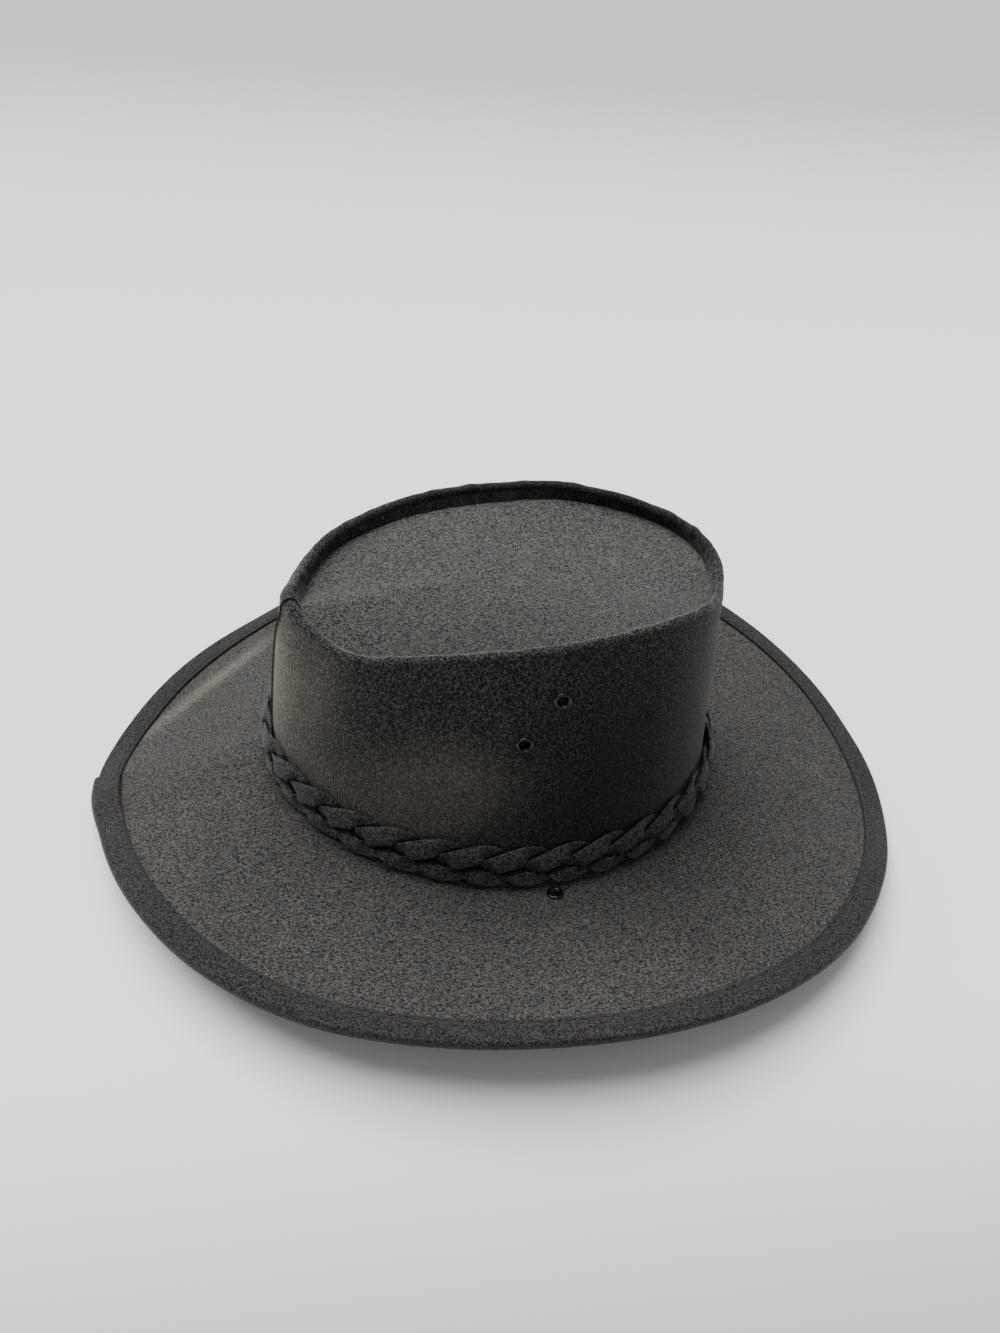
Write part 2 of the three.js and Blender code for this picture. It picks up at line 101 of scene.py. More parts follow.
def unit(vectors):
    return vectors / np.linalg.norm(vectors, axis=-1, keepdims=True)


def spot(x, y, z):
    return np.stack(np.broadcast_arrays(x, y, z), -1).astype(float)


def seamPoint(degrees):  # the oval where the brim meets the crown
    a = np.radians(degrees)
    return spot(crown["headLength"] / 2 * np.cos(a), crown["headWidth"] / 2 * np.sin(a), 0)


def outwards(degrees):
    a = np.radians(degrees)
    return unit(spot(np.cos(a) / crown["headLength"], np.sin(a) / crown["headWidth"], 0))


def edgeAngle(length):  # the angle that a length of the brim's edge takes at the back
    return math.degrees(length / (brim["reach"] + crown["headLength"] / 2))


lapSpread = binding["leather"] + 2 * binding["gap"]
lapEndAngle = binding["joinAngle"] - edgeAngle(binding["lap"])


def lapRise(degrees):  # how far the binding's lap holds the brim up
    away = np.maximum(np.maximum(degrees - binding["joinAngle"], lapEndAngle - degrees), 0)
    share = np.maximum(0, 1 - away / edgeAngle(binding["ease"]))
    return lapSpread * share ** 2 * (3 - 2 * share)


def restOnFloor(height):
    blend = brim["floorBlend"]
    eased = (height + blend) ** 2 / (4 * blend)
    return np.where(height > blend, height, np.where(height < -blend, 0, eased))


def brimReach(degrees):
    return brim["reach"] * smooth(brim["reachRow"], degrees)


def brimUnderside(degrees, out):
    seam = brim["seamHeight"] * smooth(brim["seamRow"], degrees)
    edge = brim["lift"] * smooth(brim["liftRow"], degrees)
    curled = seam + (edge - seam) * np.maximum(0, out / brimReach(degrees))
    height = restOnFloor(curled) + lapRise(degrees)
    flat = seamPoint(degrees) + outwards(degrees) * np.asarray(out, float)[..., None]
    return flat + upWay * (binding["gap"] + binding["leather"] + height)[..., None]


def brimTop(degrees, out):
    return brimUnderside(degrees, out) + upWay * brim["leather"]


def crownFoot(degrees):
    return brimTop(degrees, 0 * degrees) + upWay * binding["gap"]


def crestPoint(degrees):
    a = np.radians(degrees)
    reach = smooth(crown["reach"], degrees)
    base = brim["seamHeight"] + binding["gap"] + binding["leather"] + brim["leather"]
    return spot(crown["crestForward"] + crown["crestLength"] / 2 * reach * np.cos(a),
                crown["crestWidth"] / 2 * reach * np.sin(a),
                base + crown["height"] * smooth(crown["rise"], degrees))


def crestOutwards(degrees):
    a = np.radians(degrees)
    return unit(spot(np.cos(a) / crown["crestLength"], np.sin(a) / crown["crestWidth"], 0))


def wallPoint(degrees, share, depth=0.0):  # from the crown's foot to the shoulder of its rim
    degrees, share, depth = np.broadcast_arrays(degrees, share, depth)
    foot, out = crownFoot(degrees), crestOutwards(degrees)
    shoulder = crestPoint(degrees) + (out - upWay) * crown["rimRoll"]
    way = unit(outwards(degrees) * (1 - share)[..., None] + out * share[..., None])
    swell = crown["bulge"] * smooth(crown["swell"], degrees) * np.sin(np.pi * share) - depth
    return foot * (1 - share)[..., None] + shoulder * share[..., None] + way * swell[..., None]


def wallShare(degrees, height):  # the share of the wall at a height over the brim seam
    return height / (crestPoint(degrees)[..., 2] - crownFoot(degrees)[..., 2])


def ripple(degrees, waves):  # gentle waves round the hat: (count, phase, size)
    a = np.radians(degrees)
    return sum(size * np.sin(count * a + phase) for count, phase, size in waves)


def bump(x, middle, width):
    return np.exp(-((x - middle) / width) ** 2)


# Meshes from grids of points
def gridFaces(rows, columns, closedRows, closedColumns):
    i, j = np.meshgrid(np.arange(rows if closedRows else rows - 1),
                       np.arange(columns if closedColumns else columns - 1), indexing="ij")
    here, beyond, across = i * columns, (i + 1) % rows * columns, (j + 1) % columns
    return np.stack([here + j, beyond + j, beyond + across, here + across], -1).reshape(-1, 4)


def gridVolume(points, quads):
    a, b, c, d = (points[quads[:, k]] for k in range(4))
    return float((a * np.cross(b, c)).sum() + (a * np.cross(c, d)).sum())


def makePiece(name, points, quads, caps=(), sharpAngle=50):  # a mesh whose faces point outwards
    if gridVolume(points, quads) < 0:
        quads = quads[:, ::-1]
        caps = [tuple(reversed(cap)) for cap in caps]
    mesh = bpy.data.meshes.new(name)
    faces = quads.tolist() + [list(cap) for cap in caps]
    mesh.from_pydata((points * mm + hatMiddle).tolist(), [], faces)
    mesh.validate()
    mesh.shade_smooth()
    mesh.set_sharp_from_angle(angle=math.radians(sharpAngle))
    piece = bpy.data.objects.new(name, mesh)
    bpy.context.scene.collection.objects.link(piece)
    return piece


def addMask(piece, name, values):
    layer = piece.data.attributes.new(name, "FLOAT", "POINT")
    layer.data.foreach_set("value", np.asarray(values, np.float32).ravel())


def settle(piece, body, slot, *nodes):
    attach(piece, body)
    if nodes:
        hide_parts(*nodes)


def stationsWith(count, *clusters):  # even angles round the hat, closer about some of them
    angles = [np.arange(count) * 360 / count]
    for middle, halfWidth, steps in clusters:
        angles = [a[np.abs(a - middle) > halfWidth] for a in angles]
        angles.append(np.linspace(middle - halfWidth, middle + halfWidth, steps))
    return np.sort(np.concatenate(angles))


# Eyelets' places: through the crown's wall, at an angle and a height, and through the brim
eyelet = {
    "hole": 2.1, "barrel": 2.6, "flange": 3.7, "dome": 0.75, "clearance": 0.3,
    "vents": [(268.0, 71.0), (275.5, 91.0)], "ventNames": ["low", "high"],
    "cordAngle": 278.4, "cordOut": 8.5, "drillSides": 40, "drillLength": 12,
    "ringSides": 44, "rollSides": 12, "outerFlatness": 0.85, "innerFlatness": 0.5,
    "ringLift": 0.35, "tubeSink": 0.48, "aside": 2.0, "above": 0.04, "beyond": 4.0,
}


def eyeletFrame(at, one, two, outside):  # a place and the leather's way out, from two close points
    axis = unit(np.cross(one - at, two - at))
    return at, axis if float((axis * outside).sum()) > 0 else -axis


def ventFrame(degrees, height):
    degrees = np.float64(degrees)
    share = wallShare(degrees, height)
    return eyeletFrame(wallPoint(degrees, share), wallPoint(degrees + eyelet["aside"], share),
                       wallPoint(degrees, share + eyelet["above"]), outwards(degrees))


def cordFrame(degrees):
    degrees, out = np.float64(degrees), np.float64(eyelet["cordOut"])
    return eyeletFrame(brimTop(degrees, out), brimTop(degrees + eyelet["aside"], out),
                       brimTop(degrees, out + eyelet["beyond"]), upWay)


ventPlaces, cordPlaces = [], []
for side, start, way in (("right", 0, 1), ("left", 360, -1)):
    for (angle, height), level in zip(eyelet["vents"], eyelet["ventNames"]):
        ventPlaces.append((f"{side}_vent_{level}", *ventFrame(start + way * angle, height)))
    cordPlaces.append((f"{side}_cord_eyelet", *cordFrame(start + way * eyelet["cordAngle"])))


def turnTo(axis):  # turns +Z to an axis
    return Vector((0, 0, 1)).rotation_difference(Vector(axis)).to_matrix().to_4x4()


def punch(piece, places):  # a round hole through the leather where each eyelet goes
    for _, at, axis in places:
        bpy.ops.mesh.primitive_cylinder_add(
            vertices=eyelet["drillSides"], radius=(eyelet["barrel"] + eyelet["clearance"]) * mm,
            depth=eyelet["drillLength"] * mm)
        drill = bpy.context.object
        drill.data.transform(Matrix.Translation(Vector(at * mm + hatMiddle)) @ turnTo(axis))
        cut = piece.modifiers.new("hole", "BOOLEAN")
        cut.operation, cut.solver, cut.object = "DIFFERENCE", "MANIFOLD", drill
        holed = piece.evaluated_get(bpy.context.evaluated_depsgraph_get())
        plain = bpy.data.meshes.new_from_object(holed)
        piece.modifiers.clear()
        piece.data = plain
        bpy.data.objects.remove(drill)


# Crown side: the wall, the rolled rim and the flap that it turns down inside
def seamAway(degrees):
    return (degrees - crown["seamAngle"]) * math.pi / 180 * crown["headLength"] / 2


def seamRelief(degrees):  # one edge of the sewn strip lies over the other, with a narrow welt along it
    away = seamAway(degrees)
    fade = np.where(away > 0, np.exp(-(away / crown["seamFade"]) ** 2), 0)
    over = crown["seamStep"] * fade * np.clip(away / crown["seamEdge"], 0, 1)
    return over + crown["seamRidge"] * bump(away, 0, crown["seamSpread"])


def flapPoint(degrees):
    lean = crown["flapLean"] * smooth(crown["lean"], degrees)
    end = crestPoint(degrees) - crestOutwards(degrees) * (crown["rimRoll"] + lean)[..., None]
    return end - upWay * crown["rimDrop"]


crownMarks = {  # angle, its spread, level up the wall (from 1 to 2 over the rim), its spread, strength
    "scuffed": [(196, 11, 0.62, 0.5, 0.84), (207, 9, 0.62, 0.3, 0.42), (220, 11, 0.3, 0.18, 0.3)],
    "patched": [(253, 16, 0.46, 0.22, 0.85), (238, 16, 0.28, 0.22, 0.65), (217, 9, 0.78, 0.4, 0.55),
                (222, 24, 0.45, 0.6, 0.16)],
    # painted shade: the near wall, inside the rim at the far side and front, and the wall just above
    # the band by the seam
    "paintedShade": [(292, 24, 0.5, 0.5, 0.9), (280, 12, 0.3, 0.25, 0.1), (84, 80, 2.0, 0.42, 1.0),
               (0, 40, 2.0, 0.42, 0.8), (204, 13, 0.02, 0.2, 0.6)],
    # a pale line along the rim's fold: wear, with a painted highlight on the fold
    "rimWearAndHighlight": [(222, 12, 1.6, 0.1, 0.6), (252, 34, 1.61, 0.09, 0.75), (308, 34, 1.61, 0.09, 0.75),
                 (178, 15, 1.35, 0.4, 0.75)],
}


def buildCrownSide():
    angles = stationsWith(crown["stations"], (crown["seamAngle"], *crown["seamDense"]))
    a = angles[:, None]
    crest, out = crestPoint(a), crestOutwards(a)
    seam = seamRelief(a)
    shares = np.linspace(0, 1, crown["wallSteps"])[None, :-1]
    relief = ripple(a, crown["unevenness"]) * np.sin(np.pi * shares)
    drop = np.clip((1 - shares) / crown["seamBend"], 0, 1)
    slant = crown["seamSlant"] * drop ** 2 * (3 - 2 * drop) + crown["seamFall"] * (1 - shares)
    pulled = a - slant * bump(a, crown["seamAngle"], crown["seamPull"])
    wall = wallPoint(pulled, shares, -(seam + relief))

    def rim(radius, turns):
        return crest + out * (radius * np.cos(turns))[..., None] + upWay * (
            radius * np.sin(turns) - crown["rimRoll"])[..., None]

    turns = np.linspace(0, np.pi, crown["rimSteps"])[None, :]
    puckers = ripple(a, crown["puckers"])
    corners = crown["cornerSize"] * sum(bump(a, at, crown["cornerSpread"]) for at in crown["corners"])
    roll = rim(crown["rimRoll"] + seam + corners * np.sin(turns) + puckers * np.sin(turns / 2), turns)
    flapEnd = flapPoint(a) + out * (crown["flapPucker"] * puckers)[..., None]
    drops = np.linspace(0, 1, crown["flapSteps"] + 1)[None, 1:, None]
    flap = roll[:, -1:] * (1 - drops) + flapEnd * drops
    fold = np.linspace(0, np.pi, crown["hemSteps"])[None, 1:-1]
    half = crown["leather"] / 2
    hem = (flapEnd + out * (half - half * np.cos(fold))[..., None]
           - upWay * (crown["hemDepth"] * half * np.sin(fold))[..., None])
    back = flapEnd + out * crown["leather"]
    insideRoll = np.full_like(a, crown["rimRoll"] - crown["leather"])
    inner = rim(insideRoll, np.linspace(np.pi, 0, crown["rimSteps"] // 2)[None, :])
    insides = np.linspace(1, 0, crown["insideSteps"])[None, 1:]
    inside = wallPoint(a, insides, crown["leather"])
    rings = np.concatenate([wall, roll, flap, hem, back, inner, inside], 1)
    quads = gridFaces(rings.shape[0], rings.shape[1], True, True)
    piece = makePiece("crownSide", rings.reshape(-1, 3), quads)
    upWall, overRim = np.broadcast_to(shares, wall.shape[:2]), 1 + turns / np.pi + 0 * a
    unseen = rings.shape[1] - wall.shape[1] - roll.shape[1]
    height = np.concatenate([upWall, overRim, np.full((len(angles), unseen), crown["insideLevel"])], 1)
    for name, marks in crownMarks.items():
        strength = sum(strong * bump(a, angle, wide) * bump(height, level, tall)
                       for angle, wide, level, tall, strong in marks)
        addMask(piece, name, np.minimum(strength, 1))
    # painted shadow along the seam's gap, laid on its welt
    seamShade = bump(seamAway(a), 0, crown["seamSpread"] * crown["seamShade"])
    addMask(piece, "seam", seamShade + 0 * height)
    punch(piece, ventPlaces)
    return piece


# Crown tip: the sunken top under the flap's end
tip = {
    "tuck": 0.8, "dome": 1.5, "stations": 420, "rings": 44, "borderSteps": 4,
    "dimNear": (8, 52), "dimBack": (-25, 75, 0.75),
}


def buildTip():
    angles = (np.arange(tip["stations"]) * 360 / tip["stations"])[:, None]
    out = crestOutwards(angles)

    def edge(inset):
        reach = crown["leather"] + tip["tuck"] - inset
        return flapPoint(angles) + out * reach - upWay * binding["gap"]

    margin = edge(crown["leather"] + 2 * tip["tuck"])
    middle = margin.mean((0, 1))
    shares = np.linspace(1, 0, tip["rings"])[None, 1:-1, None]
    inner = middle + (margin - middle) * shares
    rise = (margin[..., 2:] - middle[2]) * shares ** 2 + middle[2] + tip["dome"] * (1 - shares ** 2)
    inner[..., 2] = rise[..., 0]
    steps = np.linspace(0, 1, tip["borderSteps"])[None, :, None]
    border = edge(0) * (1 - steps) + margin * steps
    top = np.concatenate([border, inner], 1)
    bottom = top[:, ::-1] - upWay * crown["leather"]
    rings = np.concatenate([top, bottom], 1)
    count, size = rings.shape[:2]
    quads = gridFaces(count, size, True, True)
    half = top.shape[1]
    quads = quads[(quads[:, 0] % size) != half - 1]
    points = rings.reshape(-1, 3)
    topMiddle = middle + upWay * tip["dome"]
    bottomMiddle = middle + upWay * (tip["dome"] - crown["leather"])
    points = np.concatenate([points, [topMiddle, bottomMiddle]])
    caps = []
    for i in range(count):
        k = (i + 1) % count
        caps.append((i * size + half - 1, k * size + half - 1, count * size))
        caps.append((k * size + half, i * size + half, count * size + 1))
    piece = makePiece("crownTip", points, quads, caps)
    # painted shade: the tip darker towards its near and back edges
    (nearStart, nearFade), (backStart, backFade, backShare) = tip["dimNear"], tip["dimBack"]
    near = np.clip((nearStart - points[:, 1]) / nearFade, 0, 1)
    back = np.clip((backStart - points[:, 0]) / backFade, 0, 1)
    addMask(piece, "dimmed", np.maximum(near, back * backShare))
    return piece


# Brim, with a pale streak along a crease across its back: wear, with a painted highlight of the fold
brimCrease = {"ends": [(-104.0, 109.0), (-168.0, 27.0)], "spread": 5.2, "middle": 0.55, "fade": 0.55}


def buildBrim():
    angles = stationsWith(brim["stations"], (binding["joinAngle"], *brim["lapDense"]))[:, None]
    reach = brimReach(angles)
    shares = np.linspace(0, 1, brim["topSteps"])[None, :]
    outs = np.concatenate([np.full_like(angles, -crown["leather"]), shares * reach], 1)
    top = brimTop(angles, outs)
    lows = np.concatenate([np.linspace(1, 0, brim["underSteps"])[None, :] * reach,
                           np.full_like(angles, -crown["leather"])], 1)
    under = brimUnderside(np.broadcast_to(angles, lows.shape), lows)
    rings = np.concatenate([top, under], 1)
    quads = gridFaces(rings.shape[0], rings.shape[1], True, True)
    piece = makePiece("brimSheet", rings.reshape(-1, 3), quads)
    start, end = (np.array(p) for p in brimCrease["ends"])
    line = end - start
    share = ((rings[..., :2] - start) @ line) / (line @ line)
    nearest = start + np.clip(share, 0, 1)[..., None] * line
    away = np.linalg.norm(rings[..., :2] - nearest, axis=-1)
    isTop = np.arange(rings.shape[1]) < top.shape[1]
    fade = bump(share, brimCrease["middle"], brimCrease["fade"])
    # painted highlight and wear along the crease, on the top face only
    addMask(piece, "creaseHighlightAndWear", bump(away, 0, brimCrease["spread"]) * fade * isTop)
    punch(piece, cordPlaces)
    return piece


# Binding: a strip folded over the brim's edge, run round against the angles, its end lapped over its
# start. Its rows lie closer at the inner, stitched edge.
bindingAcross = np.concatenate([np.linspace(0, 4, 17), np.linspace(4.6, binding["width"], 8)])


def bindingSection(degrees, spread):
    reach = brimReach(degrees)
    clear = binding["gap"] + spread
    skin = clear + binding["leather"]
    width = binding["width"]
    across = bindingAcross
    groove = -binding["grooveDepth"] * bump(across, binding["stitchIn"], binding["grooveSpread"])
    dome = binding["dome"] * np.sin(np.pi * np.clip(across / width, 0, 1)) + groove
    dome = dome - binding["edgeDrop"] * np.exp(-across / binding["edgeSoft"])
    outs = reach - width + across[None, :]
    top = brimTop(degrees, outs) + upWay * (skin + dome)[..., None]
    turns = np.linspace(np.pi / 2, -np.pi / 2, binding["foldSteps"])[None, 1:-1]
    half = brim["leather"] / 2
    middle = brimTop(degrees, reach) - upWay * half

    def fold(thick, turns):
        return middle + outwards(degrees) * (thick * np.cos(turns))[..., None] + upWay * (
            (half + thick) * np.sin(turns))[..., None]

    under = brimUnderside(degrees, outs[:, ::-1]) - upWay * (skin + 0 * dome)[..., None]
    insideOuts = reach - width + np.linspace(0, width, binding["insideSteps"])[None, :]
    insideUnder = brimUnderside(degrees, insideOuts) - upWay * clear[..., None]
    insideTop = brimTop(degrees, insideOuts[:, ::-1]) + upWay * clear[..., None]
    outside = [top, fold(skin, turns), under]
    inside = [insideUnder, fold(clear, turns[:, ::-1]), insideTop]
    return np.concatenate(outside + inside, 1)


def buildBinding():
    join = binding["joinAngle"]
    rampAngle = join + edgeAngle(binding["ramp"])
    start = stationsWith(binding["stations"], (join, *binding["lapDense"]))
    under = np.concatenate([start[start < join][::-1], start[start > join][::-1], [join]])
    run = np.concatenate([[join], under])
    run = np.concatenate([run, np.linspace(join, lapEndAngle, binding["lapSteps"])[1:]])
    turnsDone = np.cumsum(np.concatenate([[0], (run[:-1] - run[1:]) % 360]))
    left = 360 - turnsDone  # degrees still to go before the strip meets its own start
    climb = np.clip(1 - left / (rampAngle - join), 0, 1)
    spread = lapSpread * climb ** 2 * (3 - 2 * climb)
    rings = bindingSection(run[:, None], spread[:, None])
    count, size = rings.shape[:2]
    quads = gridFaces(count, size, False, True)
    last = (count - 1) * size
    caps = [tuple(range(size)), tuple(range(last + size - 1, last - 1, -1))]
    piece = makePiece("brimBinding", rings.reshape(-1, 3), quads, caps)
    # painted shadow along the binding's inner, stitched edge
    edged = np.exp(-bindingAcross / binding["edgeShade"])
    edged = np.concatenate([edged, np.zeros(size - len(bindingAcross) - 1), [1.0]])
    addMask(piece, "edged", np.broadcast_to(edged, (count, size)))
    return piece


# Plaited band: three strips on waves a third apart, whose edges rise and sink with the wave's turn.
# Each painted shade of another strip has the middle of its crossing, a side, a reach, a first and a
# last turn.
band = {
    "width": 20.0, "strand": 7.6, "leather": 1.2, "climb": 1.6, "repeats": 11, "lift": 1.6,
    "crowning": 0.15, "edgeThin": 0.45, "shift": 0.004, "lean": 0.05, "skew": 0.32, "lowSpan": 7,
    "steps": 90, "acrossSteps": 9, "turnRounds": 14,
    "upper": [(-16, -1), (-6, 0.5), (23, 0.5), (46, 0.4), (92, -0.4), (137, -1),
              (187, -1), (196, 0.1), (226, 0.6), (257, 0.8), (284, -1)],
    "lower": [(7, -1), (15, 1.25), (46, 1.45), (77, 1.2), (103, -1),
              (164, -1), (174, 0.3), (203, 0.7), (226, 0.8), (272, -0.3), (317, -1)],
    "shades": [(0, -1, 3.5, 18, 86), (0, 1, 0.7, -21, 75),
               (180, 1, 1.6, 30, 90), (180, -1, 0.7, 0, 75)],
    "shadeEase": 8, "shadeFalloff": 5,
}
ovalAngles = np.arange(1441) / 4.0  # the crown's foot by quarter degrees, for lengths along it
ovalSpots = seamPoint(ovalAngles)
ovalLengths = np.concatenate([[0], np.cumsum(np.linalg.norm(np.diff(ovalSpots, axis=0), axis=1))])
swing = (band["width"] - band["strand"]) / 2
wave = ovalLengths[-1] / band["repeats"]


def bandPoint(share, rise, level):
    degrees = np.interp((share % 1) * ovalLengths[-1], ovalLengths, ovalAngles)
    foot = wallPoint(degrees, 0)
    up = unit(wallPoint(degrees, wallShare(degrees, band["width"])) - foot)
    way = outwards(degrees)
    out = unit(way - up * (way * up).sum(-1, keepdims=True))
    leaned = band["lean"] * (band["width"] / 2 - rise)
    clear = binding["gap"] + band["leather"] / 2 + band["climb"] + leaned
    height = band["lift"] + band["width"] / 2 + rise
    return foot + up * height[..., None] + out * (clear + level)[..., None]


def levelAt(phase, pairs):  # how far out an edge lies, softened over a few degrees of turn
    degrees, levels = zip(*sorted((at % 360, level) for at, level in pairs))
    taps = [-3, -1.5, 0, 1.5, 3]
    return sum(np.interp(np.degrees(phase) + t, degrees, levels, period=360) for t in taps) / len(taps)


def skewed(turn):  # the way along the hat at a turn: the wave rises gently and falls steeply
    return turn + band["skew"] * np.sin(turn)


def turnAt(phase):  # the turn that a skewed phase belongs to
    turn = phase
    for _ in range(band["turnRounds"]):
        turn = phase - band["skew"] * np.sin(turn)
    return turn


def strandSlope(turn):
    return swing * np.cos(turn) * 2 * np.pi / wave / (1 + band["skew"] * np.cos(turn))


def shadeOfOthers(number, share, rise):  # how deep a point lies in the other strips' shade
    dark = np.zeros_like(rise)
    half = band["strand"] / 2
    for other in {0, 1, 2} - {number}:
        phase = turnAt((share * band["repeats"] - other / 3 - band["shift"]) * 2 * np.pi)
        off = (rise - swing * np.sin(phase)) / np.hypot(1, strandSlope(phase))
        for middle, side, reach, first, last in band["shades"]:
            turn = (np.degrees(phase) - middle + 90) % 360 - 90
            passing = (np.clip((turn - first) / band["shadeEase"] + 0.5, 0, 1)
                       * np.clip((last - turn) / band["shadeEase"] + 0.5, 0, 1))
            beyond = off * side - half
            shade = np.exp(-(np.maximum(beyond, 0) / reach) ** band["shadeFalloff"])
            dark = np.maximum(dark, passing * (shade * (beyond > -half)))
    return dark


def buildStrand(number, name):
    phase = (np.arange(band["repeats"] * band["steps"]) * 2 * np.pi / band["steps"])[:, None]
    share = (skewed(phase) / (2 * np.pi) + number / 3 + band["shift"]) / band["repeats"]
    side = band["strand"] / 2 / np.hypot(1, strandSlope(phase))
    back = side * strandSlope(phase) / ovalLengths[-1]
    upper, lower = levelAt(phase, band["upper"]), levelAt(phase, band["lower"])
    edges = np.linspace(-1, 1, band["acrossSteps"])[None, :]
    half = band["leather"] / 2
    rows, shades, lows = [], [], []
    for face, order in ((1, edges), (-1, edges[:, ::-1])):
        crowned = band["crowning"] * (1 - order ** 2) * face
        level = (lower * (1 - order) + upper * (1 + order)) / 2 * band["climb"]
        along, rise = share - order * back, swing * np.sin(phase) + order * side
        thinned = face * half * (1 - band["edgeThin"] * order ** 6)
        rows.append(bandPoint(along, rise, level + thinned + crowned))
        shades.append(shadeOfOthers(number, along, rise))
        # painted light: the lower row paler towards the bottom edge, where it faces away from the
        # light
        lows.append(np.clip(-rise / band["lowSpan"], 0, 1))
    rings = np.concatenate(rows, 1)
    quads = gridFaces(rings.shape[0], rings.shape[1], True, True)
    piece = makePiece(name, rings.reshape(-1, 3), quads, sharpAngle=60)
    # painted shadow where the other strips pass over
    addMask(piece, "strandShadow", np.concatenate(shades, 1))
    addMask(piece, "low", np.concatenate(lows, 1))
    return piece


crownSide = buildCrownSide()
crownTip = buildTip()
print("crown built")
brimSheet = buildBrim()
brimBinding = buildBinding()
print("brim and binding built")
strands = [buildStrand(i, f"bandStrand{letter}") for i, letter in enumerate("ABC")]
print("band built")

settle(crownSide, "root", "crown_suede", "crown_side")
settle(crownTip, "root", "crown_suede", "crown_tip")
settle(brimSheet, "root", "brim_suede", "brim")
settle(brimBinding, "root", "binding_suede", "brim_binding")
for strand, letter in zip(strands, "abc"):
    settle(strand, "root", "band_suede", f"band_strand_{letter}")


# Materials: one suede in five tones, black metal and thread
class Wire:  # a node's output, with arithmetic that adds Math nodes
    def __init__(self, paint, socket):
        self.paint, self.socket = paint, socket

    def joined(self, operation, first, second):
        return self.paint.node("ShaderNodeMath", {"operation": operation}, {0: first, 1: second})

    def __add__(self, other):
        return self.joined("ADD", self, other)

    def __rsub__(self, other):
        return self.joined("SUBTRACT", other, self)

    def __mul__(self, other):
        return self.joined("MULTIPLY", self, other)

    __radd__, __rmul__ = __add__, __mul__


class Paint:  # one material and the ways to add its nodes
    def __init__(self, name):
        self.material = bpy.data.materials.new(name)
        self.material.use_nodes = True
        self.tree = self.material.node_tree
        self.tree.nodes.clear()
        self.place = self.node("ShaderNodeTexCoord", out="Object")

    def node(self, kind, settings=None, sockets=None, out=0):
        made = self.tree.nodes.new(kind)
        for key, value in (settings or {}).items():
            setattr(made, key, value)
        for key, value in (sockets or {}).items():
            if isinstance(value, Wire):
                self.tree.links.new(value.socket, made.inputs[key])
            else:
                made.inputs[key].default_value = value
        return Wire(self, made.outputs[out]) if len(made.outputs) else made

    def noise(self, scale, detail=2.0, rough=0.5, place=None):
        return self.node("ShaderNodeTexNoise", None, {
            "Vector": place or self.place, "Scale": scale, "Detail": detail, "Roughness": rough})

    def stretched(self, scale, turn):
        return self.node("ShaderNodeMapping", None, {
            "Vector": self.place, "Scale": scale, "Rotation": [math.radians(t) for t in turn]})

    def remap(self, value, low, high, newLow=0.0, newHigh=1.0):
        return self.node("ShaderNodeMapRange", {"interpolation_type": "SMOOTHSTEP"}, {
            0: value, 1: low, 2: high, 3: newLow, 4: newHigh})

    def mask(self, name):
        return self.node("ShaderNodeAttribute", {"attribute_name": name}, out="Fac")

    def mix(self, first, second, factor):
        sockets = {0: factor}
        for key, value in ((6, first), (7, second)):
            sockets[key] = value if isinstance(value, Wire) else (*value, 1)
        return self.node("ShaderNodeMix", {"data_type": "RGBA"}, sockets, out=2)

    def scale(self, colour, factor):
        return self.node("ShaderNodeVectorMath", {"operation": "SCALE"}, {0: colour, "Scale": factor})

    def finish(self, colour, roughness, height=None, bumpDepth=0.0003, bumpStrength=0.6, **constants):
        sockets = {"Base Color": colour, "Roughness": roughness}
        sockets.update({key.replace("_", " "): value for key, value in constants.items()})
        if height is not None:
            sockets["Normal"] = self.node("ShaderNodeBump", None, {
                "Height": height, "Distance": bumpDepth, "Strength": bumpStrength})
        shader = self.node("ShaderNodeBsdfPrincipled", None, sockets)
        self.node("ShaderNodeOutputMaterial", None, {"Surface": shader})
        return self.material


suedeLook = {
    "grain": 1450, "clumps": 640, "mottle": 42, "blotch": 13, "hue": 210,
    "napShares": (0.55, 0.1, 0.35), "from": 0.41, "to": 0.6, "deep": 0.04, "pale": 2.95,
    "mottling": 0.55, "blotching": 0.45, "tint": 0.025, "hueRange": (0.35, 0.65),
    "sheen": 0.1, "sheenRoughness": 0.5, "specular": 0.2,
}
wallLook = {**suedeLook, "grain": 1250, "deep": 0.0, "pale": 5.0, "from": 0.45, "to": 0.62}


